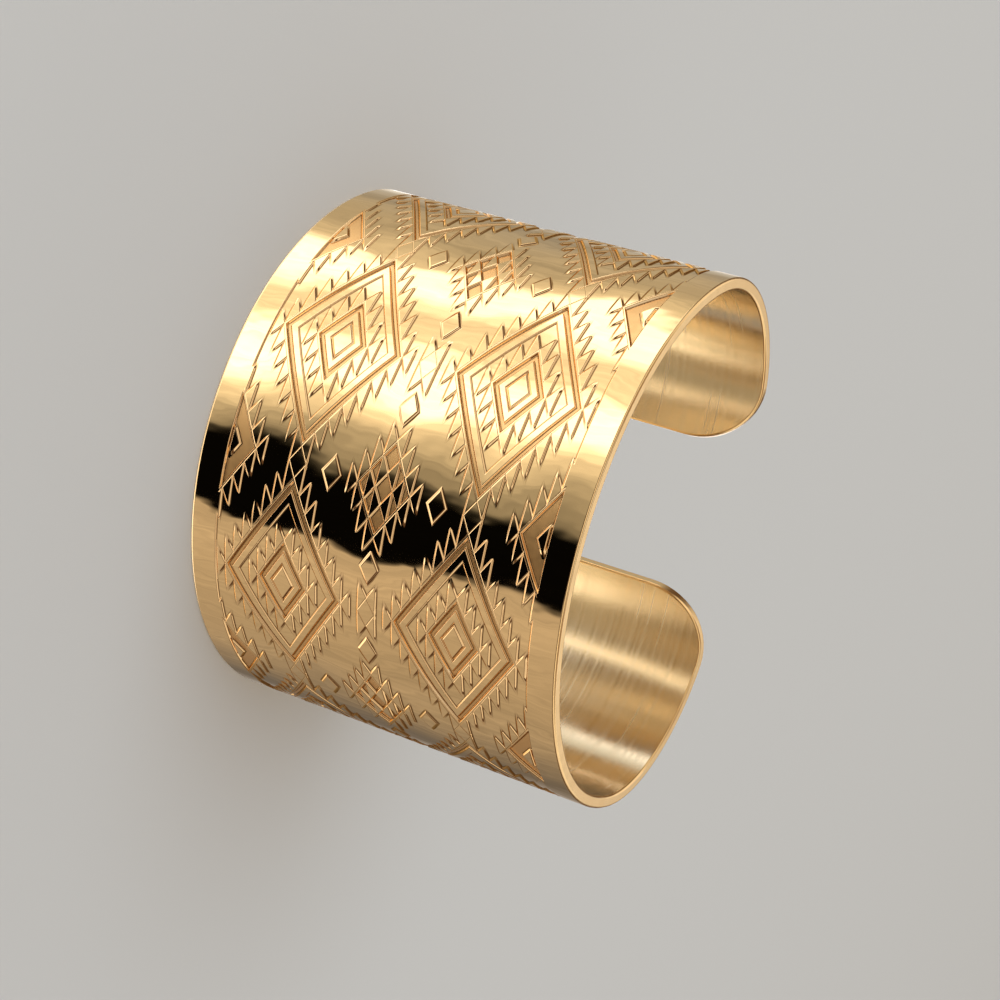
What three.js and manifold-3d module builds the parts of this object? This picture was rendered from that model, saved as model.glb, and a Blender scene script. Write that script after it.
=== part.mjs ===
// A wide cuff bracelet: one strip of sheet brass, stamped flat with serrated diamonds and then bent to an open oval.
// It lies on its side, with one long edge on the floor and its opening towards minus X. Sizes are in millimetres.
import * as THREE from "three";
import { mergeVertices } from "three/addons/utils/BufferGeometryUtils.js";
import Module from "manifold-3d";

// The flat strip
const CUFF_WIDTH = 45;
const STRIP_LENGTH = 159;
const SHEET_THICKNESS = 1.3;
const CORNER_RADIUS = 8.5;
const CORNER_STEPS = 5;

// The bend, as three arcs on each side of the middle of the back, with how far along the outer face each one reaches
const BACK_RADIUS = 30.8;
const BACK_REACH = 43.4;
const SHOULDER_RADIUS = 20.1;
const SHOULDER_REACH = 65.8;
const END_RADIUS = 16.7;
const WIDEST_TURN = 0.33;
const WIDEST_EDGE_TURN = 0.15;

// The relief: a raised edge band all round, raised teeth and lines, and sunk satin bands
const EDGE_BAND = 3.2;
const RAISED_HEIGHT = 0.13;
const SUNK_DEPTH = 0.12;
const TOOTH_RIM = 0.12;
const CLEARANCE = 0.05;

// How near two points are taken as one, in the flat slabs and on the bent strip, and how level a flat face is
const SLAB_WELD = 1e-5;
const BENT_WELD = 1e-3;
const FLAT_TOLERANCE = 1e-4;

// The grid that the pattern stands on: columns across the strip, rows along it
const COLUMN_STEP = 1.055;
const ROW_STEP = 1.728;
const MIDDLE_ROW_SHIFT = -3.5;
const DIAMOND_COLUMN = 10;
const ROWS_PER_REPEAT = 16;

// Nested outlines of the large and the small diamond, counted in grid steps from their middle
const LARGE_DIAMOND = { size: 7, line: [6.1, 5.35] };
const SMALL_DIAMOND = { size: 3, line: [2.1, 1.45] };
const LATTICE_SIZE = 3;
const TOOTH_NECK = 0.08;
const EDGE_DIAMOND_COLUMN = 20;
const EDGE_DIAMOND_SIZE = 5;
const EDGE_TOOTH_COLUMN = 17;
const LONE_RHOMB = 1.05;
const CENTRE_RHOMB_ROW = 3;
const SIDE_RHOMB_COLUMN = 6;

const wasm = await Module();
wasm.setup();

const HALF_ROWS = ROWS_PER_REPEAT / 2;
const HALF_LENGTH = STRIP_LENGTH / 2;
const HALF_THICKNESS = SHEET_THICKNESS / 2;
const OVERLAP = SHEET_THICKNESS / 4;
const ABOVE_RELIEF = RAISED_HEIGHT * 2;

// A closed three.js geometry as a solid that can be joined and cut
function solidOf(geometry) {
  const bare = geometry.clone();
  bare.deleteAttribute("normal");
  bare.deleteAttribute("uv");
  const welded = mergeVertices(bare, SLAB_WELD);
  const vertProperties = new Float32Array(welded.attributes.position.array);
  const triVerts = new Uint32Array(welded.index.array);
  return new wasm.Manifold(new wasm.Mesh({ numProp: 3, vertProperties, triVerts }));
}

// A plan shape of the flat strip (X along it, Y across it) as a slab between two heights
function slab(shape, low, high) {
  const options = { depth: high - low, bevelEnabled: false, curveSegments: CORNER_STEPS };
  const geometry = new THREE.ExtrudeGeometry(shape, options);
  geometry.translate(0, 0, low);
  return solidOf(geometry);
}

// The strip's outline, or the same outline moved in by an inset, with rounded corners
function stripOutline(inset) {
  const along = HALF_LENGTH - inset;
  const low = inset;
  const high = CUFF_WIDTH - inset;
  const radius = CORNER_RADIUS - inset;
  const shape = new THREE.Shape();
  shape.moveTo(-along + radius, low);
  shape.lineTo(along - radius, low);
  shape.absarc(along - radius, low + radius, radius, -Math.PI / 2, 0);
  shape.lineTo(along, high - radius);
  shape.absarc(along - radius, high - radius, radius, 0, Math.PI / 2);
  shape.lineTo(-along + radius, high);
  shape.absarc(-along + radius, high - radius, radius, Math.PI / 2, Math.PI);
  shape.lineTo(-along, low + radius);
  shape.absarc(-along + radius, low + radius, radius, Math.PI, Math.PI * 1.5);
  return shape;
}

// A grid point, as columns from the strip's centre line and rows from the pattern's middle row
function gridPoint(column, row) {
  return new THREE.Vector2(MIDDLE_ROW_SHIFT + row * ROW_STEP, CUFF_WIDTH / 2 + column * COLUMN_STEP);
}

// A convex plan polygon with each side moved in by a margin
function shrunk(points, margin) {
  const count = points.length;
  const turn = THREE.ShapeUtils.isClockWise(points) ? 1 : -1;
  const lines = points.map((point, i) => {
    const along = points[(i + 1) % count].clone().sub(point).normalize();
    const out = new THREE.Vector2(along.y, -along.x).multiplyScalar(turn * margin);
    return { start: point.clone().add(out), along };
  });
  return lines.map((line, i) => {
    const before = lines[(i + count - 1) % count];
    const gap = line.start.clone().sub(before.start);
    const reach = gap.cross(line.along) / before.along.cross(line.along);
    return before.start.clone().addScaledVector(before.along, reach);
  });
}

function diamondPoints(column, row, size) {
  return [
    gridPoint(column - size, row),
    gridPoint(column, row + size),
    gridPoint(column + size, row),
    gridPoint(column, row - size),
  ];
}

// One tooth by itself: a triangle with its root at a grid point and its upright side one column further out
function toothPoints(column, row, side) {
  const points = [gridPoint(column, row), gridPoint(column + side, row - 1), gridPoint(column + side, row + 1)];
  return shrunk(points, CLEARANCE);
}

// The serrated outside of a diamond: teeth along its four sides and one at its left and right corners
function serratedPoints(column, row, size) {
  const steps = [[0, -size]];
  for (let tooth = 1; tooth <= size; tooth += 1) {
    steps.push([tooth, tooth - size - 2 + TOOTH_NECK]);
    steps.push([tooth, Math.min(tooth - size, -TOOTH_NECK)]);
  }
  steps.push([size + 1, -1], [size + 1, 1]);
  for (let tooth = size; tooth >= 1; tooth -= 1) {
    steps.push([tooth, Math.max(size - tooth, TOOTH_NECK)]);
    steps.push([tooth, size + 2 - tooth - TOOTH_NECK]);
  }
  const otherSide = steps.map(([across, along]) => [-across, -along]);
  return [...steps, ...otherSide].map(([across, along]) => gridPoint(column + across, row + along));
}

// The slabs of the relief, gathered before they are joined to the strip
const raisedSolids = [];
const sunkSolids = [];

// Whether any of a plan polygon lies in the box round the patterned field
function inField(points) {
  const box = new THREE.Box2().setFromPoints(points);
  const low = new THREE.Vector2(EDGE_BAND - HALF_LENGTH, EDGE_BAND);
  const high = new THREE.Vector2(HALF_LENGTH - EDGE_BAND, CUFF_WIDTH - EDGE_BAND);
  return box.intersectsBox(new THREE.Box2(low, high));
}

// Adds a plan polygon, with or without a hole, to some solids as a slab, if it lies in the patterned field
function addSlab(solids, low, points, hole) {
  if (!inField(points)) {
    return;
  }
  const shape = new THREE.Shape(points);
  if (hole) {
    shape.holes.push(new THREE.Path(hole));
  }
  solids.push(slab(shape, low, RAISED_HEIGHT));
}

function raise(points, hole) {
  addSlab(raisedSolids, -OVERLAP, points, hole);
}

function sink(points, hole) {
  addSlab(sunkSolids, -SUNK_DEPTH, points, hole);
}

// A diamond with teeth outside, a rim where they join, and a sunk floor that may have a raised line inside it
function serratedDiamond(column, row, size, line) {
  const floor = shrunk(diamondPoints(column, row, size), TOOTH_RIM);
  raise(serratedPoints(column, row, size), floor);
  if (line) {
    bandInside(column, row, floor, line);
  } else {
    sink(floor);
  }
}

// A sunk band from an outline in to a raised line
function bandInside(column, row, floor, line) {
  const [outer, inner] = line.map((step) => diamondPoints(column, row, step));
  sink(floor, shrunk(outer, CLEARANCE));
  raise(outer, inner);
}

// The two nested diamonds, the inner one without teeth, and the rhomb between this pair and the next one along
function largeDiamond(column, row) {
  serratedDiamond(column, row, LARGE_DIAMOND.size, LARGE_DIAMOND.line);
  bandInside(column, row, diamondPoints(column, row, SMALL_DIAMOND.size), SMALL_DIAMOND.line);
  raise(shrunk(diamondPoints(column, row - HALF_ROWS, 1), CLEARANCE));
}

// The lattice diamond on the centre line: sunk cells with a raised tooth in each of them beside the middle
function latticeDiamond(row) {
  serratedDiamond(0, row, LATTICE_SIZE);
  for (const side of [-1, 1]) {
    raise(toothPoints(0, row - 1, side));
    raise(toothPoints(0, row + 1, side));
    raise(toothPoints(side, row, side));
    raise(diamondPoints(side * SIDE_RHOMB_COLUMN, row, LONE_RHOMB));
  }
}

// The half diamonds that the edge bands cut off, level with the lattice diamond
function edgeDiamonds(row) {
  for (const side of [-1, 1]) {
    serratedDiamond(side * EDGE_DIAMOND_COLUMN, row, EDGE_DIAMOND_SIZE);
    raise(toothPoints(side * EDGE_TOOTH_COLUMN, row, side));
  }
}

// The small figure on the centre line between two large diamonds, and the two lone rhombs that stand by it
function centreFigure(row) {
  raise(diamondPoints(0, row, 1));
  for (const side of [-1, 1]) {
    raise(toothPoints(0, row - 1, side));
    raise(toothPoints(0, row + 1, side));
    raise(diamondPoints(0, row + side * CENTRE_RHOMB_ROW, LONE_RHOMB));
  }
}

// The repeats that reach the strip, one beyond each end
const REPEATS = Math.ceil(HALF_LENGTH / (ROWS_PER_REPEAT * ROW_STEP)) + 1;
for (let repeat = -REPEATS; repeat <= REPEATS; repeat += 1) {
  const latticeRow = repeat * ROWS_PER_REPEAT;
  const diamondRow = latticeRow + HALF_ROWS;
  latticeDiamond(latticeRow);
  edgeDiamonds(latticeRow);
  centreFigure(diamondRow);
  largeDiamond(-DIAMOND_COLUMN, diamondRow);
  largeDiamond(DIAMOND_COLUMN, diamondRow);
}

// All the given solids as one, joined two by two
function joined(solids) {
  let parts = solids;
  while (parts.length > 1) {
    const pairs = [];
    for (let i = 0; i < parts.length; i += 2) {
      const pair = i + 1 < parts.length ? parts[i].add(parts[i + 1]) : parts[i];
      pair.numTri();
      pairs.push(pair);
    }
    parts = pairs;
  }
  return parts[0];
}

// The stamped strip while it is still flat
const field = slab(stripOutline(EDGE_BAND), -HALF_THICKNESS, ABOVE_RELIEF);
const pocket = slab(stripOutline(EDGE_BAND), 0, ABOVE_RELIEF);
const raised = joined(raisedSolids).intersect(field);
const sunk = joined(sunkSolids).intersect(field);
const blank = slab(stripOutline(0), -SHEET_THICKNESS, RAISED_HEIGHT);
const strip = blank.subtract(pocket).subtract(sunk).add(raised).getMesh();

// The outer face's place and outward direction at a distance along the strip from the middle of the back
function sectionAt(along) {
  const arcs = [
    { radius: BACK_RADIUS, from: 0, to: BACK_REACH },
    { radius: SHOULDER_RADIUS, from: BACK_REACH, to: SHOULDER_REACH },
    { radius: END_RADIUS, from: SHOULDER_REACH, to: HALF_LENGTH },
  ];
  const place = new THREE.Vector2();
  const direction = new THREE.Vector2(1, 0);
  let turn = 0;
  for (const arc of arcs) {
    const reach = THREE.MathUtils.clamp(Math.abs(along), arc.from, arc.to) - arc.from;
    place.addScaledVector(direction, -arc.radius);
    turn += Math.sign(along) * reach / arc.radius;
    direction.set(Math.cos(turn), Math.sin(turn));
    place.addScaledVector(direction, arc.radius);
  }
  return { place, direction, turn };
}

// Where a point of the flat strip comes to lie when the strip is bent
function bent(point) {
  const { place, direction } = sectionAt(point.x);
  place.addScaledVector(direction, point.z);
  return new THREE.Vector3(place.x, place.y, point.y);
}

// The flat strip's points and triangles
const points = [];
for (let i = 0; i < strip.vertProperties.length; i += strip.numProp) {
  points.push(new THREE.Vector3().fromArray(strip.vertProperties, i));
}
let triangles = [];
for (let i = 0; i < strip.triVerts.length; i += 3) {
  triangles.push(Array.from(strip.triVerts.slice(i, i + 3)));
}

// How far apart two points lie along the strip
function run(a, b) {
  return Math.abs(points[a].x - points[b].x);
}

// Whether an edge bends so far that it needs a point between its ends; the strip's own long edges are kept rounder
function tooBent(a, b) {
  const onEdge = [0, CUFF_WIDTH].some((y) => points[a].y === y && points[b].y === y);
  const turn = Math.abs(sectionAt(points[a].x).turn - sectionAt(points[b].x).turn);
  return turn > (onEdge ? WIDEST_EDGE_TURN : WIDEST_TURN);
}

function edgeName(a, b) {
  return a < b ? `${a} ${b}` : `${b} ${a}`;
}

// Twice the area of a flat triangle, above zero when it turns left
function turning(a, b, c) {
  const [u, v] = [points[b].clone().sub(points[a]), points[c].clone().sub(points[a])];
  return u.x * v.y - u.y * v.x;
}

// Whether the shared edge of two level triangles, a and b, may be swapped for the one from c to d, and is better so
function betterSwapped(a, b, c, d) {
  const level = [b, c, d].every((k) => Math.abs(points[k].z - points[a].z) < FLAT_TOLERANCE);
  if (!level || run(c, d) >= run(a, b)) {
    return false;
  }
  const side = Math.sign(turning(a, b, c));
  return turning(c, d, b) * side > FLAT_TOLERANCE && turning(d, c, a) * side > FLAT_TOLERANCE;
}

// Level triangles that share an edge along the strip share one across it instead, where their outline allows it
function swapEdges() {
  let swaps = 1;
  while (swaps > 0) {
    swaps = 0;
    const owners = new Map();
    const changed = new Set();
    triangles.forEach((triangle, t) => {
      for (let k = 0; k < 3; k += 1) {
        const [a, b, c] = [triangle[k], triangle[(k + 1) % 3], triangle[(k + 2) % 3]];
        const name = edgeName(a, b);
        const other = owners.get(name);
        if (!other) {
          owners.set(name, { t, c });
        } else if (!changed.has(t) && !changed.has(other.t) && betterSwapped(a, b, c, other.c)) {
          triangles[other.t] = [other.c, b, c];
          triangles[t] = [c, a, other.c];
          changed.add(t).add(other.t);
          swaps += 1;
          break;
        }
      }
    });
  }
}

// Edges that bend too far get a point on the grid row nearest to their middle
function splitEdges() {
  const added = new Map();
  for (const triangle of triangles) {
    triangle.forEach((a, k) => {
      const b = triangle[(k + 1) % 3];
      const name = edgeName(a, b);
      if (tooBent(a, b) && !added.has(name)) {
        const [low, high] = points[a].x < points[b].x ? [points[a], points[b]] : [points[b], points[a]];
        const row = Math.round(((low.x + high.x) / 2 - MIDDLE_ROW_SHIFT) / ROW_STEP);
        const along = MIDDLE_ROW_SHIFT + row * ROW_STEP;
        const point = low.clone().lerp(high, (along - low.x) / (high.x - low.x));
        point.x = along;
        added.set(name, points.push(point) - 1);
      }
    });
  }
  triangles = triangles.flatMap((triangle) => {
    const runs = triangle.map((a, k) => {
      const b = triangle[(k + 1) % 3];
      return added.has(edgeName(a, b)) ? run(a, b) : 0;
    });
    const first = runs.indexOf(Math.max(...runs));
    const [a, b, c] = [0, 1, 2].map((k) => triangle[(first + k) % 3]);
    const [ab, bc, ca] = [[a, b], [b, c], [c, a]].map(([from, to]) => added.get(edgeName(from, to)));
    if (ab === undefined) {
      return [triangle];
    }
    const left = ca === undefined ? [[a, ab, c]] : [[a, ab, ca], [ab, c, ca]];
    const right = bc === undefined ? [[ab, b, c]] : [[ab, b, bc], [ab, bc, c]];
    return [...left, ...right];
  });
  return added.size;
}

do {
  swapEdges();
} while (splitEdges() > 0);

const corners = triangles.flatMap((triangle) => triangle.map((k) => bent(points[k])));
const shell = mergeVertices(new THREE.BufferGeometry().setFromPoints(corners), BENT_WELD);
shell.computeBoundingBox();
const middle = shell.boundingBox.getCenter(new THREE.Vector3());
shell.translate(-middle.x, -middle.y, -shell.boundingBox.min.z);

const brass = new THREE.MeshStandardMaterial({ color: "goldenrod", roughness: 0.22, metalness: 1 });
const cuff = new THREE.Mesh(shell, brass);
cuff.name = "cuff_band";

const bracelet = new THREE.Group();
bracelet.add(cuff);
export default bracelet;
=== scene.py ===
import math
import bpy
import numpy as np
from mathutils import Matrix, Vector
from mathutils.geometry import delaunay_2d_cdt


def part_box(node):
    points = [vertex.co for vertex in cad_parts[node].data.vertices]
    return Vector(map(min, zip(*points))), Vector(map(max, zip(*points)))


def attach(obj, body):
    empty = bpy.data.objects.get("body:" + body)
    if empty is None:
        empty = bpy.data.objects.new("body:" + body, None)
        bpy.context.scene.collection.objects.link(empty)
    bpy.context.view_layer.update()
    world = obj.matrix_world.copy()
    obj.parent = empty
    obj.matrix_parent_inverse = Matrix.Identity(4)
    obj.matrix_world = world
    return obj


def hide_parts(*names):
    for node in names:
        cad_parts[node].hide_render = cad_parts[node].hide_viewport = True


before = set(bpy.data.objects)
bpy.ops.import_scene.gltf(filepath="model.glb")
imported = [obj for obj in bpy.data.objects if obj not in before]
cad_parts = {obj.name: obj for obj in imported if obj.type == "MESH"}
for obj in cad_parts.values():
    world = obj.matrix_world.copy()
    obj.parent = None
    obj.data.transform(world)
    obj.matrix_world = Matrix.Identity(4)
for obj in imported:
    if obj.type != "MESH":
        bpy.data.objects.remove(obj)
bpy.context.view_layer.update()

# The blank
# A strip of brass sheet with rounded ends, about a wrist's girth long. It is cut flat, and its edges are
# filed round before anything is stamped on it. Flat places are (along, across, height) in millimetres, from
# the middle of the back, one long edge and the outside face before it is stamped.
MM = 0.001
band_low, band_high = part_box("cuff_band")
STRIP_WIDTH = (band_high[2] - band_low[2]) / MM
STRIP_HALF = 79.5
SHEET = 1.3
CORNER_RADIUS = 8.5
CORNER_STEPS = 14
FILED_RADIUS = 0.3
FILED_STEPS = 4
RAISED = 0.13
ARC_RADII = (30.8, 20.1, 16.7)
ARC_REACHES = (43.4, 65.8)
STEP_TURN = math.radians(3)
COARSE_CORNER = 2


def bend_lines():
    """The lines across the strip at which it bends when it is rolled, close enough for a smooth curve."""
    straight = STRIP_HALF - CORNER_RADIUS
    lines = [0.0]
    for start, end, radius in zip((0, *ARC_REACHES), (*ARC_REACHES, straight), ARC_RADII):
        steps = math.ceil((end - start) / (radius * STEP_TURN))
        lines += [start + (end - start) * step / steps for step in range(1, steps + 1)]
    return sorted({sign * line for line in lines for sign in (-1, 1)})


def strip_outline(inset):
    """The strip's outline moved in by an inset, as (place, outward direction) pairs that turn left."""
    radius = CORNER_RADIUS - inset
    reach = STRIP_HALF - CORNER_RADIUS
    top, bottom = STRIP_WIDTH - inset, inset
    between = bend_lines()[1:-1]
    centres = [(reach, CORNER_RADIUS), (reach, STRIP_WIDTH - CORNER_RADIUS),
               (-reach, STRIP_WIDTH - CORNER_RADIUS), (-reach, CORNER_RADIUS)]
    outline = []
    for corner, (along, across) in enumerate(centres):
        for step in range(CORNER_STEPS + 1):
            turn = math.radians(90 * (corner - 1 + step / CORNER_STEPS))
            out = (math.cos(turn), math.sin(turn))
            outline.append(((along + radius * out[0], across + radius * out[1]), out))
        if corner == 1:
            outline += [((line, top), (0.0, 1.0)) for line in reversed(between)]
        if corner == 3:
            outline += [((line, bottom), (0.0, -1.0)) for line in between]
    return outline


def filed_rings():
    """Rings round the strip's edge, from outside face to inside face: inset, height and lean outwards."""
    rings = []
    high = RAISED - FILED_RADIUS
    low = FILED_RADIUS - SHEET
    for first_turn, centre in ((0, high), (90, low)):
        for step in range(FILED_STEPS + 1):
            lean = math.radians(first_turn + 90 * step / FILED_STEPS)
            inset = FILED_RADIUS * (1 - math.sin(lean))
            rings.append((inset, centre + FILED_RADIUS * math.cos(lean), lean))
    return rings


rings = filed_rings()
ring_outlines = [strip_outline(inset) for inset, _, _ in rings]
ring_count = len(ring_outlines[0])
strip_places = []
strip_normals = []
for (_, height, lean), outline in zip(rings, ring_outlines):
    across_part, up_part = math.sin(lean), math.cos(lean)
    strip_places += [(*place, height) for place, _ in outline]
    strip_normals += [(out[0] * across_part, out[1] * across_part, up_part) for _, out in outline]
rim_faces = []
for ring in range(len(rings) - 1):
    for index in range(ring_count):
        a, b = ring * ring_count + index, ring * ring_count + (index + 1) % ring_count
        rim_faces += [(a, a + ring_count, b + ring_count), (a, b + ring_count, b)]

# The stamped pattern
# The die leaves a plain raised band round the edge, and inside it two columns of large serrated diamonds with
# a lattice diamond between them and half diamonds at the sides. Teeth and lines stand up with sloping sides,
# and the wide bands are pressed in. Everything stands on one grid of columns and rows. A side is given as how
# far its top edge lies inside the outline and how far its foot lies outside it.
GROUND = -0.05
SUNK = 0.17
COLUMN_STEP = 1.055
ROW_STEP = 1.728
ROW_SHIFT = -3.5
EDGE_BAND = 3.2
DIAMOND_COLUMN = 10
REPEAT_ROWS = 16
LARGE_SIZE, LARGE_LINE = 7, (6.1, 5.35)
SMALL_SIZE, SMALL_LINE, SMALL_HEART = 3, (2.1, 1.45), 1.12
LATTICE_SIZE = 3
SIDE_COLUMN, SIDE_SIZE, SIDE_TOOTH = 20, 5, 17
LONE_RHOMB, LONE_COLUMN, LONE_ROWS = 1.05, 6, 3
TOOTH_RIM = 0.12
LINE_SIDE = (0.06, 0.16)
TOOTH_SIDE = (0.1, 0.2)
RHOMB_SIDE = (0.2, 0.22)
# Painted shade: how far the darkened band at the foot of each slope reaches.
SHADE_REACH = 0.06
NEAR_FOOT = 0.9
LEVEL = 0.01
PROBE = 0.002
PROBE_INSET = 0.03
WELD = 4e-4
SMALLEST_AREA = 1e-8


def grid(column, row):
    return (ROW_SHIFT + row * ROW_STEP, STRIP_WIDTH / 2 + column * COLUMN_STEP)


def moved_out(points, margin):
    """A closed outline that turns left, with every side moved out by a margin and its corners kept sharp."""
    points = np.array(points)
    sides = np.roll(points, -1, axis=0) - points
    sides /= np.linalg.norm(sides, axis=1)[:, None]
    before = np.roll(sides, 1, axis=0)
    out = np.stack([sides[:, 1], -sides[:, 0]], axis=1)
    out_before = np.roll(out, 1, axis=0)
    mitre = out + out_before
    return points + margin * mitre / (1 + (out * out_before).sum(axis=1))[:, None]


def diamond(column, row, size):
    return [grid(column - size, row), grid(column, row + size),
            grid(column + size, row), grid(column, row - size)]


def tooth(column, row, side):
    """A triangle with its root at a grid point and its upright side one column further from the middle."""
    return [grid(column, row), grid(column + side, row - side), grid(column + side, row + side)]


def turns_left(points):
    points = np.array(points)
    following = np.roll(points, -1, axis=0)
    return (points[:, 0] * following[:, 1] - points[:, 1] * following[:, 0]).sum() > 0


def beyond(points, outline):
    """How far points lie outside a convex outline that turns left, below zero inside."""
    outline = np.array(outline)
    sides = np.roll(outline, -1, axis=0) - outline
    sides /= np.linalg.norm(sides, axis=1)[:, None]
    out = np.stack([sides[:, 1], -sides[:, 0]], axis=1)
    return (points @ out.T - (outline * out).sum(axis=1)).max(axis=1)


def beyond_field(points):
    """How far points lie outside the patterned field, towards the strip's edge."""
    radius = CORNER_RADIUS - EDGE_BAND
    reach = np.array([STRIP_HALF - EDGE_BAND - radius, STRIP_WIDTH / 2 - EDGE_BAND - radius])
    offset = np.abs(points - [0, STRIP_WIDTH / 2]) - reach
    return np.linalg.norm(np.maximum(offset, 0), axis=1) + np.minimum(offset.max(axis=1), 0) - radius


# What stands up and what is pressed in, and the creases that the mesh has to follow
raised_pieces = []
raised_lines = []
sunk_floors = []
crease_points = []
crease_edges = []


def in_field(points):
    return (beyond_field(np.array(points)) < 0).any()


def add_creases(loops):
    """Loops with the same number of corners, drawn with ties from corner to corner."""
    start = len(crease_points)
    for loop in loops:
        crease_points.extend(map(tuple, loop))
    count = len(loops[0])
    for level in range(len(loops)):
        for index in range(count):
            here = start + level * count + index
            crease_edges.append((here, start + level * count + (index + 1) % count))
            if level:
                crease_edges.append((here - count, here))


def draw_side(outline, side, out=1):
    """A sloping side on an outline, from its top edge inside it to a little beyond its foot outside it, where
    the painted shade at its foot ends.
    """
    inset, offset = side
    add_creases([moved_out(outline, out * place)
                 for place in (-inset, (offset - inset) / 2, offset, offset + SHADE_REACH)])


def raise_piece(points, side=TOOTH_SIDE):
    if not turns_left(points):
        points = points[::-1]
    if not in_field(points):
        return
    raised_pieces.append((moved_out(points, -side[0]), sum(side)))
    draw_side(points, side)


def raise_line(outer, inner):
    raised_lines.append((moved_out(outer, -LINE_SIDE[0]), moved_out(inner, LINE_SIDE[0])))
    draw_side(outer, LINE_SIDE)
    draw_side(inner, LINE_SIDE, -1)


def teeth_of(column, row, size):
    for side in (-1, 1):
        for step in range(size):
            for end in (-1, 1):
                yield tooth(column + side * step, row + end * (size - step), side)
        yield tooth(column + side * size, row, side)


def serrated_diamond(column, row, size, line=None):
    """Teeth round a narrow rim, and in it a sunk floor that may have a raised line round some ground."""
    if not in_field(diamond(column, row, size + 1)):
        return
    rim = diamond(column, row, size)
    floor = moved_out(rim, -TOOTH_RIM)
    draw_side(rim, LINE_SIDE)
    draw_side(moved_out(floor, -LINE_SIDE[0]), LINE_SIDE, -1)
    for points in teeth_of(column, row, size):
        raise_piece(points)
    raised_lines.append((moved_out(rim, -LINE_SIDE[0]), floor))
    hole = None
    if line:
        outer, inner = (diamond(column, row, place) for place in line)
        raise_line(outer, inner)
        hole = moved_out(outer, -LINE_SIDE[0])
    sunk_floors.append((floor, hole))


def lattice_diamond(row):
    serrated_diamond(0, row, LATTICE_SIZE)
    for side in (-1, 1):
        for points in (tooth(0, row - 1, side), tooth(0, row + 1, side), tooth(side, row, side)):
            raise_piece(points)
        raise_piece(diamond(side * LONE_COLUMN, row, LONE_RHOMB), RHOMB_SIDE)


def side_diamonds(row):
    for side in (-1, 1):
        serrated_diamond(side * SIDE_COLUMN, row, SIDE_SIZE)
        raise_piece(tooth(side * SIDE_TOOTH, row, side))


def centre_figure(row):
    raise_piece(diamond(0, row, 1))
    for side in (-1, 1):
        raise_piece(tooth(0, row - 1, side))
        raise_piece(tooth(0, row + 1, side))
        raise_piece(diamond(0, row + side * LONE_ROWS, LONE_RHOMB), RHOMB_SIDE)


def large_diamond(column, row):
    serrated_diamond(column, row, LARGE_SIZE, LARGE_LINE)
    serrated_diamond(column, row, SMALL_SIZE, SMALL_LINE)
    raise_piece(diamond(column, row, SMALL_HEART))
    raise_piece(diamond(column, row - REPEAT_ROWS / 2, 1))


repeats = math.ceil(STRIP_HALF / (REPEAT_ROWS * ROW_STEP)) + 1
for repeat in range(-repeats, repeats + 1):
    lattice_row = repeat * REPEAT_ROWS
    diamond_row = lattice_row + REPEAT_ROWS // 2
    lattice_diamond(lattice_row)
    side_diamonds(lattice_row)
    centre_figure(diamond_row)
    large_diamond(-DIAMOND_COLUMN, diamond_row)
    large_diamond(DIAMOND_COLUMN, diamond_row)

for inset in (-LINE_SIDE[0], (LINE_SIDE[1] - LINE_SIDE[0]) / 2, LINE_SIDE[1], LINE_SIDE[1] + SHADE_REACH):
    add_creases([[place for place, _ in strip_outline(EDGE_BAND + inset)]])


def near(points, outline, margin):
    """The indices of the points in the box round an outline, found in points sorted along the strip."""
    low = np.min(outline, axis=0) - margin
    high = np.max(outline, axis=0) + margin
    first, last = np.searchsorted(points[:, 0], [low[0], high[0]])
    picked = np.arange(first, last)
    return picked[(points[picked, 1] > low[1]) & (points[picked, 1] < high[1])]


def relief_at(places):
    """The stamped face's height at flat places, and how much painted shade each gets near the foot of what
    stands up.
    """
    order = np.argsort(places[:, 0])
    points = places[order]
    line_run = sum(LINE_SIDE)
    base = np.full(len(points), GROUND)
    part = (LINE_SIDE[0] - beyond_field(points)) / line_run
    foot = np.abs(part - 1) * line_run
    for floor, hole in sunk_floors:
        picked = near(points, floor, 0)
        inside = beyond(points[picked], floor) < 0
        if hole is not None:
            inside &= beyond(points[picked], hole) > 0
        base[picked[inside]] = -SUNK
    for piece, run in raised_pieces:
        picked = near(points, piece, run + SHADE_REACH)
        away = beyond(points[picked], piece)
        part[picked] = np.minimum(part[picked], away / run)
        foot[picked] = np.minimum(foot[picked], np.abs(away - run))
    for outer, inner in raised_lines:
        picked = near(points, outer, line_run + SHADE_REACH)
        away = np.maximum(beyond(points[picked], outer), -beyond(points[picked], inner))
        part[picked] = np.minimum(part[picked], away / line_run)
        foot[picked] = np.minimum(foot[picked], np.abs(away - line_run))
    # Painted shade, full at the foot of each slope and fading out a little way beyond it.
    foot = np.where(part > NEAR_FOOT, np.clip(1 - foot / SHADE_REACH, 0, 1), 0)
    part = np.clip(part, 0, 1)
    heights = base + (RAISED - base) * (1 - part * part * (3 - 2 * part))
    result = np.empty((2, len(points)))
    result[:, order] = heights, foot
    return result


def triangulated(points, edges):
    """Triangles between flat points that keep the edges, as an array of places and one of their corners."""
    result = delaunay_2d_cdt([Vector(point) for point in points], edges, [], 0, WELD / 4, False)
    places = np.array([tuple(point) for point in result[0]])
    faces = np.array([face for face in result[2] if len(face) == 3])
    a, b, c = (places[faces[:, corner]] for corner in range(3))
    area = (b[:, 0] - a[:, 0]) * (c[:, 1] - a[:, 1]) - (b[:, 1] - a[:, 1]) * (c[:, 0] - a[:, 0])
    faces[area < 0] = faces[area < 0][:, ::-1]
    return places, faces[np.abs(area) > SMALLEST_AREA]


def loop_edges(start, count):
    return [(start + index, start + (index + 1) % count) for index in range(count)]


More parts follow.
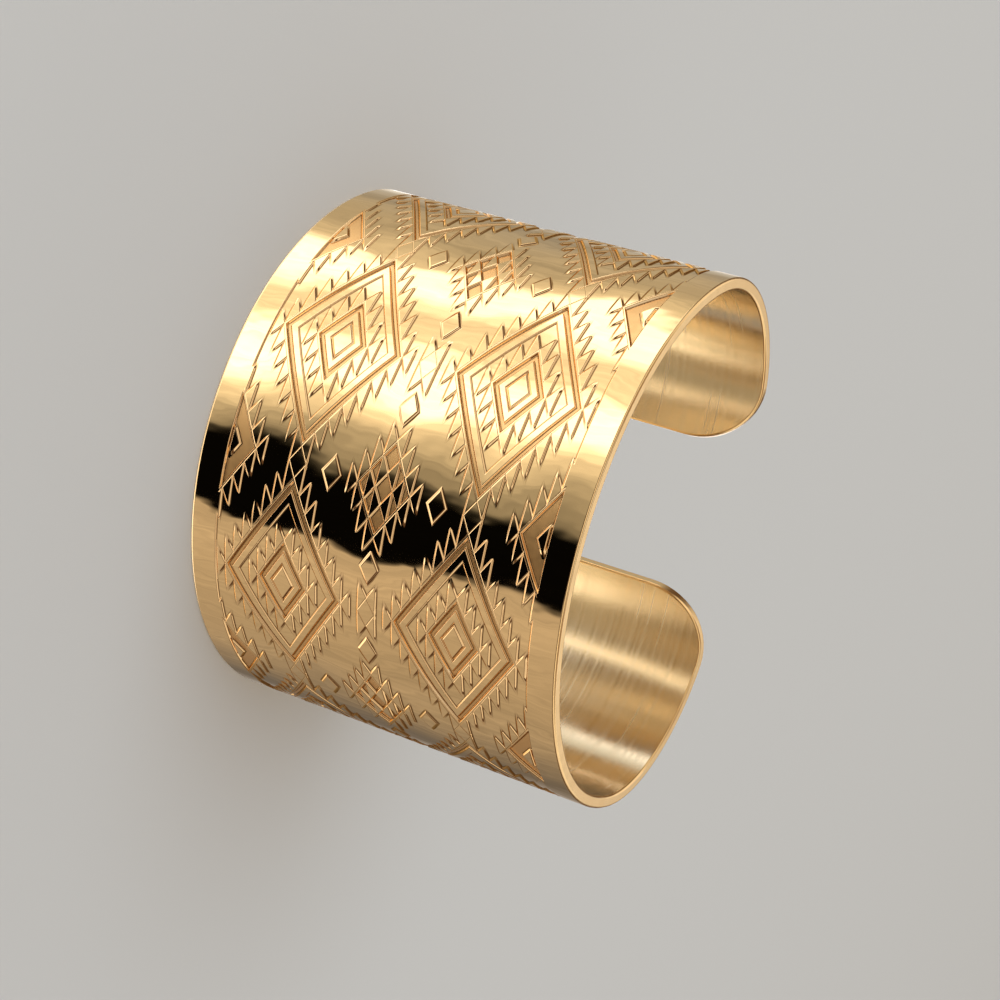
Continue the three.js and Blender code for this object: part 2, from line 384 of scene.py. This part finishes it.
def bent_plan(extra_points, extra_edges):
    """The strip's face inside its filed edge, cut at the bend lines and along extra edges."""
    points = [place for place, _ in ring_outlines[0]]
    edges = loop_edges(0, ring_count)
    for line in bend_lines():
        edges.append((len(points), len(points) + 1))
        points += [(line, FILED_RADIUS), (line, STRIP_WIDTH - FILED_RADIUS)]
    for step in range(COARSE_CORNER, CORNER_STEPS, COARSE_CORNER):
        turn = math.radians(90 * step / CORNER_STEPS)
        along = STRIP_HALF - CORNER_RADIUS + (CORNER_RADIUS - FILED_RADIUS) * math.cos(turn)
        across = CORNER_RADIUS - (CORNER_RADIUS - FILED_RADIUS) * math.sin(turn)
        for side in (-1, 1):
            edges.append((len(points), len(points) + 1))
            points += [(side * along, across), (side * along, STRIP_WIDTH - across)]
    edges += [(a + len(points), b + len(points)) for a, b in extra_edges]
    places, faces = triangulated(points + extra_points, edges)
    middles = places[faces].mean(axis=1)
    radius = CORNER_RADIUS - FILED_RADIUS
    offset = np.maximum(np.abs(middles - [0, STRIP_WIDTH / 2]) - [STRIP_HALF - CORNER_RADIUS,
                                                                STRIP_WIDTH / 2 - CORNER_RADIUS], 0)
    return places, faces[np.linalg.norm(offset, axis=1) < radius]


def kept_in_field(points, edges, margin=0.15, samples=64):
    """Crease edges cut off a little way beyond the field's border, with the points that they need."""
    points = np.array(points)
    edges = np.array(edges)
    steps = np.linspace(0, 1, samples + 1)[None, :, None]
    starts, ends = points[edges[:, 0]][:, None], points[edges[:, 1]][:, None]
    along_edges = starts + (ends - starts) * steps
    inside = beyond_field(along_edges.reshape(-1, 2)).reshape(len(edges), -1) < margin
    crossed = inside.any(axis=1)
    first = np.maximum(inside.argmax(axis=1) - 1, 0)
    last = np.minimum(samples - inside[:, ::-1].argmax(axis=1) + 1, samples)
    rows = np.arange(len(edges))
    kept = np.stack([along_edges[rows, first], along_edges[rows, last]], axis=1)[crossed]
    kept_edges = [(2 * row, 2 * row + 1) for row in range(len(kept))]
    return [tuple(point) for point in kept.reshape(-1, 2)], kept_edges


outside_places, outside_faces = bent_plan(*kept_in_field(crease_points, crease_edges))
inside_places, inside_faces = bent_plan([], [])
outside_heights, outside_feet = relief_at(outside_places)

# The leans of the stamped face are taken just inside each triangle's corners, so that its creases stay sharp
corner_places = outside_places[outside_faces]
middles = corner_places.mean(axis=1)
probes = (corner_places + (middles[:, None] - corner_places) * PROBE_INSET).reshape(-1, 2)
slopes = [(relief_at(probes + step)[0] - relief_at(probes - step)[0]) / (2 * PROBE)
          for step in (np.array([PROBE, 0]), np.array([0, PROBE]))]
leans = np.stack([-slopes[0], -slopes[1], np.ones(len(probes))], axis=1)
leans /= np.linalg.norm(leans, axis=1)[:, None]

POLISHED, SATIN, SLOPED, BRUSHED, FILED = range(5)
corner_heights = outside_heights[outside_faces]
level = np.ptp(corner_heights, axis=1) < LEVEL
level_finish = np.where(corner_heights.min(axis=1) > GROUND - LEVEL, POLISHED, SATIN)
stamped_finish = np.where(level, level_finish, SLOPED)

places = np.concatenate([np.array(strip_places),
                         np.column_stack([outside_places, outside_heights]),
                         np.column_stack([inside_places, np.full(len(inside_places), -SHEET)])])
outside_start = len(strip_places)
inside_start = outside_start + len(outside_places)
faces = np.concatenate([np.array(rim_faces), outside_faces + outside_start,
                        inside_faces[:, ::-1] + inside_start])
flat_normals = np.concatenate([np.array(strip_normals)[np.array(rim_faces)].reshape(-1, 3), leans,
                               np.tile([0.0, 0.0, -1.0], (3 * len(inside_faces), 1))])
finishes = np.concatenate([np.full(len(rim_faces), FILED), stamped_finish,
                           np.full(len(inside_faces), BRUSHED)])

_, first_use, merged = np.unique(np.round(places / WELD).astype(np.int64), axis=0,
                                 return_index=True, return_inverse=True)
faces = merged.reshape(-1)[faces]
places = places[first_use]
place_feet = np.zeros(len(first_use))
place_feet[merged.reshape(-1)[outside_start:inside_start]] = outside_feet
proper = (faces[:, 0] != faces[:, 1]) & (faces[:, 1] != faces[:, 2]) & (faces[:, 0] != faces[:, 2])
flat_normals = flat_normals.reshape(-1, 3, 3)[proper].reshape(-1, 3)
faces, finishes = faces[proper], finishes[proper]

flat_strip = bpy.data.meshes.new("flat_strip")
flat_strip.from_pydata((places * MM).tolist(), [], faces.tolist())
strip_map = flat_strip.uv_layers.new(name="strip")
strip_map.data.foreach_set("uv", (places[faces][:, :, :2] * MM).reshape(-1).astype(np.float32))
lean = flat_strip.attributes.new("flat_normal", "FLOAT_VECTOR", "CORNER")
lean.data.foreach_set("vector", flat_normals.reshape(-1).astype(np.float32))
finish = flat_strip.attributes.new("finish", "INT", "FACE")
finish.data.foreach_set("value", finishes.astype(np.int32))
# The foot attribute carries the painted shade at the feet of the slopes.
feet = flat_strip.attributes.new("foot", "FLOAT", "POINT")
feet.data.foreach_set("value", place_feet.astype(np.float32))
flat_strip.update()

# The finishes
# The whole cuff is gold-coloured brass. Its edge band, ground and raised tops are polished to a mirror and
# waver a little, the sunk bands are satin, the stamped slopes are burnished, the inside is brushed along the
# strip and the filed rim keeps a fine satin. Painted shade darkens the colour at the feet of the stamped
# slopes, and the slopes' colour is a touch deeper with painted gold-on-gold reflection.
GOLD = (0.95, 0.665, 0.335)
SATIN_GOLD = (0.88, 0.54, 0.23)
# The slopes' colour is the brass's own gold made a touch deeper with painted gold-on-gold reflection.
SLOPE_GOLD_AND_REFLECTION = (0.93, 0.64, 0.34)
# Painted shade colour for the feet of the stamped slopes.
PAINTED_SHADE = (0.24, 0.12, 0.04)
INSIDE_GOLD = (0.93, 0.79, 0.57)
NOISE_LOW, NOISE_HIGH = 0.3, 0.7


class Shader:
    """A metal material and short ways to add its nodes."""

    def __init__(self, name, colour, roughness):
        self.material = bpy.data.materials.new(name)
        self.material.use_nodes = True
        self.nodes, self.links = self.material.node_tree.nodes, self.material.node_tree.links
        self.metal = self.nodes["Principled BSDF"]
        self.metal.inputs["Base Color"].default_value = (*colour, 1)
        self.metal.inputs["Metallic"].default_value = 1
        self.metal.inputs["Roughness"].default_value = roughness
        where = self.nodes.new("ShaderNodeUVMap")
        where.uv_map = "strip"
        self.where = where.outputs[0]
        self.normal = None

    def noise(self, along, across, detail=2.0):
        """Noise over the flat strip, with so many waves in a millimetre along it and across it."""
        stretch = self.nodes.new("ShaderNodeMapping")
        stretch.inputs["Scale"].default_value = (along / MM, across / MM, 1)
        self.links.new(self.where, stretch.inputs["Vector"])
        noise = self.nodes.new("ShaderNodeTexNoise")
        noise.inputs["Scale"].default_value = 1
        noise.inputs["Detail"].default_value = detail
        self.links.new(stretch.outputs[0], noise.inputs["Vector"])
        return noise.outputs[0]

    def bump(self, height, rise):
        node = self.nodes.new("ShaderNodeBump")
        node.inputs["Distance"].default_value = rise * MM
        self.links.new(height, node.inputs["Height"])
        if self.normal:
            self.links.new(self.normal, node.inputs["Normal"])
        self.normal = node.outputs[0]
        self.links.new(self.normal, self.metal.inputs["Normal"])

    # Painted shade: the base colour runs to dark brown at the feet of the slopes.
    def paint_shade_at_feet(self, colour, shade_colour):
        feet = self.nodes.new("ShaderNodeAttribute")
        feet.attribute_name = "foot"
        ramp = self.nodes.new("ShaderNodeValToRGB")
        ramp.color_ramp.elements[0].color = (*colour, 1)
        ramp.color_ramp.elements[1].color = (*shade_colour, 1)
        self.links.new(feet.outputs["Fac"], ramp.inputs[0])
        self.links.new(ramp.outputs[0], self.metal.inputs["Base Color"])

    def vary(self, socket, value, low, high):
        node = self.nodes.new("ShaderNodeMapRange")
        node.inputs["From Min"].default_value = NOISE_LOW
        node.inputs["From Max"].default_value = NOISE_HIGH
        node.inputs["To Min"].default_value = low
        node.inputs["To Max"].default_value = high
        self.links.new(value, node.inputs["Value"])
        self.links.new(node.outputs[0], self.metal.inputs[socket])


def polished_metal():
    shader = Shader("polished gold", GOLD, 0.06)
    shader.bump(shader.noise(0.06, 0.05, 1), 1.0)
    shader.bump(shader.noise(0.25, 0.12, 2), 0.08)
    shader.vary("Roughness", shader.noise(1.5, 0.2, 3), 0.03, 0.07)
    shader.paint_shade_at_feet(GOLD, PAINTED_SHADE)
    return shader.material


def satin_metal():
    shader = Shader("satin gold", SATIN_GOLD, 0.42)
    shader.bump(shader.noise(3, 3, 2), 0.0015)
    shader.vary("Roughness", shader.noise(1, 1, 3), 0.38, 0.46)
    shader.paint_shade_at_feet(SATIN_GOLD, PAINTED_SHADE)
    return shader.material


def sloped_metal():
    shader = Shader("sloped gold", SLOPE_GOLD_AND_REFLECTION, 0.18)
    shader.bump(shader.noise(2, 2, 2), 0.002)
    shader.vary("Roughness", shader.noise(1, 1, 3), 0.06, 0.12)
    shader.metal.inputs["Specular Tint"].default_value = (*SLOPE_GOLD_AND_REFLECTION, 1)
    shader.paint_shade_at_feet(SLOPE_GOLD_AND_REFLECTION, PAINTED_SHADE)
    return shader.material


def brushed_metal():
    shader = Shader("brushed gold", INSIDE_GOLD, 0.2)
    shader.bump(shader.noise(0.04, 0.05, 1), 0.5)
    shader.bump(shader.noise(0.02, 4, 3), 0.0004)
    shader.vary("Roughness", shader.noise(0.03, 2, 3), 0.17, 0.28)
    shader.metal.inputs["Anisotropic"].default_value = 0.6
    shader.metal.inputs["Anisotropic Rotation"].default_value = 0.25
    grain = shader.nodes.new("ShaderNodeTangent")
    grain.direction_type = "UV_MAP"
    grain.uv_map = "strip"
    shader.links.new(grain.outputs[0], shader.metal.inputs["Tangent"])
    return shader.material


def filed_metal():
    shader = Shader("filed gold", GOLD, 0.2)
    shader.bump(shader.noise(0.3, 4, 2), 0.001)
    shader.vary("Roughness", shader.noise(0.5, 2, 3), 0.16, 0.26)
    return shader.material


# The bend
# The stamped strip is rolled over a former into an open oval: a flat arc over the back of the wrist, a
# tighter one round each side and the tightest at the two ends. A node tree does the rolling and gives each
# part its finish.


def rolling_tree(finish_materials):
    """A node tree that rolls the flat strip round three arcs on each side of its middle."""
    tree = bpy.data.node_groups.new("Roll strip", "GeometryNodeTree")
    sockets = tree.interface
    sockets.new_socket("Geometry", in_out="INPUT", socket_type="NodeSocketGeometry")
    for name in ("Back radius", "Side radius", "End radius", "Back reach", "Side reach", "Back place"):
        socket = sockets.new_socket(name, in_out="INPUT", socket_type="NodeSocketFloat")
        socket.subtype = "DISTANCE"
    sockets.new_socket("Geometry", in_out="OUTPUT", socket_type="NodeSocketGeometry")
    nodes, links = tree.nodes, tree.links
    given = nodes.new("NodeGroupInput")

    def put(value, socket):
        if isinstance(value, bpy.types.NodeSocket):
            links.new(value, socket)
        else:
            socket.default_value = value

    def math_node(operation, *values):
        node = nodes.new("ShaderNodeMath")
        node.operation = operation
        for socket, value in zip(node.inputs, values):
            put(value, socket)
        return node.outputs[0]

    def parts_of(vector):
        node = nodes.new("ShaderNodeSeparateXYZ")
        links.new(vector, node.inputs[0])
        return node.outputs

    def vector_of(*parts):
        node = nodes.new("ShaderNodeCombineXYZ")
        for socket, part in zip(node.inputs, parts):
            put(part, socket)
        return node.outputs[0]

    def named(name, data_type):
        node = nodes.new("GeometryNodeInputNamedAttribute")
        node.data_type = data_type
        node.inputs["Name"].default_value = name
        return node.outputs[0]

    along, across, height = parts_of(nodes.new("GeometryNodeInputPosition").outputs[0])
    reach = math_node("ABSOLUTE", along)
    side = math_node("SIGN", along)
    starts = (0.0, given.outputs["Back reach"], given.outputs["Side reach"])
    ends = (given.outputs["Back reach"], given.outputs["Side reach"], 1.0)
    radii = [given.outputs[name] for name in ("Back radius", "Side radius", "End radius")]
    turn = 0.0
    out_x, out_y = 1.0, 0.0
    place_x, place_y = given.outputs["Back place"], 0.0
    for start, end, radius in zip(starts, ends, radii):
        run = math_node("SUBTRACT", math_node("MINIMUM", math_node("MAXIMUM", reach, start), end), start)
        turn = math_node("MULTIPLY_ADD", math_node("DIVIDE", run, radius), side, turn)
        next_x, next_y = math_node("COSINE", turn), math_node("SINE", turn)
        place_x = math_node("MULTIPLY_ADD", radius, math_node("SUBTRACT", next_x, out_x), place_x)
        place_y = math_node("MULTIPLY_ADD", radius, math_node("SUBTRACT", next_y, out_y), place_y)
        out_x, out_y = next_x, next_y
    store_turn = nodes.new("GeometryNodeStoreNamedAttribute")
    store_turn.data_type = "FLOAT"
    store_turn.domain = "POINT"
    store_turn.inputs["Name"].default_value = "turn"
    links.new(given.outputs["Geometry"], store_turn.inputs["Geometry"])
    links.new(turn, store_turn.inputs["Value"])
    move = nodes.new("GeometryNodeSetPosition")
    links.new(store_turn.outputs[0], move.inputs["Geometry"])
    links.new(vector_of(math_node("MULTIPLY_ADD", height, out_x, place_x),
                        math_node("MULTIPLY_ADD", height, out_y, place_y), across), move.inputs["Position"])

    lean_along, lean_across, lean_out = parts_of(named("flat_normal", "FLOAT_VECTOR"))
    turned = named("turn", "FLOAT")
    cosine, sine = math_node("COSINE", turned), math_node("SINE", turned)
    normal_x = math_node("SUBTRACT", math_node("MULTIPLY", lean_out, cosine),
                         math_node("MULTIPLY", lean_along, sine))
    normal_y = math_node("ADD", math_node("MULTIPLY", lean_out, sine),
                         math_node("MULTIPLY", lean_along, cosine))
    shade = nodes.new("GeometryNodeSetMeshNormal")
    shade.mode = "FREE"
    shade.domain = "CORNER"
    links.new(move.outputs[0], shade.inputs["Mesh"])
    links.new(vector_of(normal_x, normal_y, lean_across), shade.inputs["Custom Normal"])
    real = nodes.new("GeometryNodeRealizeInstances")
    links.new(shade.outputs[0], real.inputs[0])
    geometry = real.outputs[0]
    for number, material in enumerate(finish_materials):
        same = nodes.new("FunctionNodeCompare")
        same.data_type = "INT"
        same.operation = "EQUAL"
        whole_numbers = [socket for socket in same.inputs if socket.type == "INT"]
        links.new(named("finish", "INT"), whole_numbers[0])
        whole_numbers[1].default_value = number
        paint = nodes.new("GeometryNodeSetMaterial")
        paint.inputs["Material"].default_value = material
        links.new(geometry, paint.inputs["Geometry"])
        links.new(same.outputs[0], paint.inputs["Selection"])
        geometry = paint.outputs[0]
    result = nodes.new("NodeGroupOutput")
    links.new(geometry, result.inputs[0])
    return tree


def set_input(modifier, name, value):
    for item in modifier.node_group.interface.items_tree:
        if item.in_out == "INPUT" and item.name == name:
            modifier[item.identifier] = value


blank = bpy.data.objects.new("blank", flat_strip)
bpy.context.scene.collection.objects.link(blank)
roller = blank.modifiers.new("Roll", "NODES")
roller.node_group = rolling_tree([polished_metal(), satin_metal(), sloped_metal(), brushed_metal(),
                                  filed_metal()])
for name, size in zip(("Back radius", "Side radius", "End radius"), ARC_RADII):
    set_input(roller, name, size * MM)
for name, size in zip(("Back reach", "Side reach"), ARC_REACHES):
    set_input(roller, name, size * MM)
set_input(roller, "Back place", band_high[0] - RAISED * MM)
depsgraph = bpy.context.evaluated_depsgraph_get()
rolled = bpy.data.meshes.new_from_object(blank.evaluated_get(depsgraph))
rolled.name = "cuff"
for name in ("turn", "flat_normal", "finish"):
    rolled.attributes.remove(rolled.attributes[name])
bpy.data.objects.remove(blank)
cuff = bpy.data.objects.new("cuff", rolled)
bpy.context.scene.collection.objects.link(cuff)
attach(cuff, "root")
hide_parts("cuff_band")

# The floor
# A plain pale table top, much larger than the cuff, that the cuff lies on by its long edge.
FLOOR_HALF = 4.0
FLOOR_COLOUR = (0.625, 0.655, 0.685)
FLOOR_ROUGHNESS = 0.8
floor_mesh = bpy.data.meshes.new("floor")
floor_corners = [(-FLOOR_HALF, -FLOOR_HALF, 0), (FLOOR_HALF, -FLOOR_HALF, 0), (FLOOR_HALF, FLOOR_HALF, 0),
                 (-FLOOR_HALF, FLOOR_HALF, 0)]
floor_mesh.from_pydata(floor_corners, [], [(0, 1, 2, 3)])
floor = bpy.data.objects.new("floor", floor_mesh)
bpy.context.scene.collection.objects.link(floor)
floor_material = bpy.data.materials.new("pale floor")
floor_material.use_nodes = True
floor_shader = floor_material.node_tree.nodes["Principled BSDF"]
floor_shader.inputs["Base Color"].default_value = (*FLOOR_COLOUR, 1)
floor_shader.inputs["Roughness"].default_value = FLOOR_ROUGHNESS
floor_mesh.materials.append(floor_material)
floor.visible_glossy = False

# The studio
# A soft world that the polished metal mirrors. Round the cuff's axis it has bright windows, a dark gap and a
# warm table side, given as (degrees round, light). Further up and down it fades to the lights in BEYOND,
# given as (degrees up where the fade starts, where it ends, light). A lamp that the metal doesn't mirror
# lights the floor.
LIGHTS = [(-180, 1.0), (-172, 0.6), (-152, 0.36), (-140, 0.5), (-122, 0.5), (-106, 0.85), (-98, 2.4),
          (-86, 2.5), (-76, 1.15), (-62, 1.25), (-54, 2.4), (-36, 2.5), (-27, 1.3), (-17, 0.6), (-8, 0.3),
          (-4.5, 0.05), (-2, 0.002), (30.5, 0.002), (32, 0.52), (42, 0.62), (56, 0.54), (80, 0.47),
          (100, 0.42), (118, 0.28), (138, 0.16), (150, 0.28), (161, 0.5), (167, 2.0), (176, 2.4), (180, 1.0)]
TABLE_FROM = 30
TABLE_TINT = (1.0, 0.89, 0.77)
ROOM_TINT = (1.0, 0.95, 0.83)
WINDOW_LIGHT = 1.9
WINDOW_TINT = (1.0, 1.0, 1.0)
BRIGHTEST = 2.6
LEAN = 0.65
LEAN_FROM = 26.5
WAVER_SCALE, WAVER_END, WAVER_REACH = 3, 0.25, 0.3
STREAK_SCALE, STREAK_DETAIL, STREAK_STRETCH, STREAK_DEPTH = 40, 4, 0.15, 0.8
LAMP_SIZE, LAMP_POWER, LAMP_COLOUR = 2.5, 22, (0.86, 0.94, 1.0)
LAMP_PLACE = (0.5, -1.3, 2.1)
BEYOND = ((-12, 0, (0.12, 0.07, 0.04)), (11, 22, (1.05, 0.97, 0.84)), (38, 50, (0.34, 0.24, 0.16)),
          (66, 80, (0.9, 0.95, 1.0)), (-42, -54, (2.0, 1.85, 1.65)), (-66, -78, (0.5, 0.48, 0.45)))


def studio_world():
    """Light by the direction round the cuff's standing axis, which everything in it leans off a little."""
    world = bpy.data.worlds.new("studio")
    world.use_nodes = True
    nodes, links = world.node_tree.nodes, world.node_tree.links
    nodes.clear()

    def math_node(operation, *values):
        node = nodes.new("ShaderNodeMath")
        node.operation = operation
        for socket, value in zip(node.inputs, values):
            if isinstance(value, bpy.types.NodeSocket):
                links.new(value, socket)
            else:
                socket.default_value = value
        return node.outputs[0]

    where = nodes.new("ShaderNodeTexCoord").outputs["Generated"]
    parts = nodes.new("ShaderNodeSeparateXYZ")
    links.new(where, parts.inputs[0])
    round_axis = math_node("ARCTAN2", parts.outputs[1], parts.outputs[0])
    above = math_node("ADD", math_node("ARCSINE", parts.outputs[2]), math.radians(LEAN_FROM))
    direction = math_node("MULTIPLY_ADD", above, LEAN, round_axis)
    waver = nodes.new("ShaderNodeTexNoise")
    waver.inputs["Scale"].default_value = WAVER_SCALE
    links.new(where, waver.inputs["Vector"])
    window_side = math_node("LESS_THAN", direction, WAVER_END)
    sway = math_node("MULTIPLY", math_node("SUBTRACT", waver.outputs[0], 0.5), window_side)
    direction = math_node("MULTIPLY_ADD", sway, WAVER_REACH, direction)
    place = nodes.new("ShaderNodeMapRange")
    place.inputs["From Min"].default_value = -math.pi
    place.inputs["From Max"].default_value = math.pi
    links.new(direction, place.inputs["Value"])
    ramp = nodes.new("ShaderNodeValToRGB")
    links.new(place.outputs["Result"], ramp.inputs[0])
    stops = ramp.color_ramp.elements
    while len(stops) < len(LIGHTS):
        stops.new(0.5)
    for stop, (angle, light) in zip(stops, LIGHTS):
        tint = TABLE_TINT if angle > TABLE_FROM else ROOM_TINT
        tint = WINDOW_TINT if light > WINDOW_LIGHT else tint
        stop.position = (angle + 180) / 360
        stop.color = (*(light * part / BRIGHTEST for part in tint), 1)
    streaks = nodes.new("ShaderNodeTexNoise")
    streaks.inputs["Scale"].default_value = STREAK_SCALE
    streaks.inputs["Detail"].default_value = STREAK_DETAIL
    stretch = nodes.new("ShaderNodeCombineXYZ")
    links.new(direction, stretch.inputs[0])
    links.new(math_node("MULTIPLY", parts.outputs[2], STREAK_STRETCH), stretch.inputs[1])
    links.new(stretch.outputs[0], streaks.inputs["Vector"])
    uneven = math_node("MULTIPLY_ADD", math_node("SUBTRACT", streaks.outputs[0], 0.5), STREAK_DEPTH, 1.0)
    background = nodes.new("ShaderNodeBackground")
    links.new(math_node("MULTIPLY", uneven, BRIGHTEST), background.inputs["Strength"])
    links.new(ramp.outputs["Color"], background.inputs["Color"])
    shown = background.outputs[0]
    for start, end, light in BEYOND:
        fade = nodes.new("ShaderNodeMapRange")
        fade.interpolation_type = "SMOOTHSTEP"
        fade.inputs["From Min"].default_value = math.sin(math.radians(start))
        fade.inputs["From Max"].default_value = math.sin(math.radians(end))
        links.new(parts.outputs[2], fade.inputs["Value"])
        other = nodes.new("ShaderNodeBackground")
        other.inputs["Color"].default_value = (*light, 1)
        mixed = nodes.new("ShaderNodeMixShader")
        links.new(fade.outputs["Result"], mixed.inputs[0])
        links.new(shown, mixed.inputs[1])
        links.new(other.outputs[0], mixed.inputs[2])
        shown = mixed.outputs[0]
    output = nodes.new("ShaderNodeOutputWorld")
    links.new(shown, output.inputs["Surface"])
    return world


bpy.context.scene.world = studio_world()
lamp_data = bpy.data.lights.new("ceiling", "AREA")
lamp_data.shape = "DISK"
lamp_data.size = LAMP_SIZE
lamp_data.energy = LAMP_POWER
lamp_data.color = LAMP_COLOUR
lamp = bpy.data.objects.new("ceiling", lamp_data)
lamp.location = LAMP_PLACE
lamp.rotation_euler = Vector(LAMP_PLACE).to_track_quat("Z", "Y").to_euler()
lamp.visible_glossy = False
bpy.context.scene.collection.objects.link(lamp)

# The camera
# It stands where the photographer's did, seen from the cuff, and is turned with the photograph's frame.
CAMERA_PLACE = (179.31, -49.33, 116.02)
CAMERA_RIGHT = (-0.43968, -0.20249, 0.87503)
CAMERA_UP = (-0.10418, -0.95618, -0.27362)
CAMERA_BACK = (0.89209, -0.21147, 0.39932)
LENS, SENSOR = 72.58, 36
SHIFT = (-0.0022, -0.0063)
NEAREST = 0.01
camera_data = bpy.data.cameras.new("camera")
camera_data.lens = LENS
camera_data.sensor_width = SENSOR
camera_data.shift_x, camera_data.shift_y = SHIFT
camera_data.clip_start = NEAREST
camera = bpy.data.objects.new("camera", camera_data)
bpy.context.scene.collection.objects.link(camera)
back_place = band_high[0] / MM - RAISED
place = Vector((CAMERA_PLACE[0] + back_place, CAMERA_PLACE[1], CAMERA_PLACE[2])) * MM
turned = Matrix((CAMERA_RIGHT, CAMERA_UP, CAMERA_BACK)).transposed()
camera.matrix_world = Matrix.LocRotScale(place, turned.to_quaternion(), None)
bpy.context.scene.camera = camera
bpy.context.scene.view_settings.view_transform = "Standard"
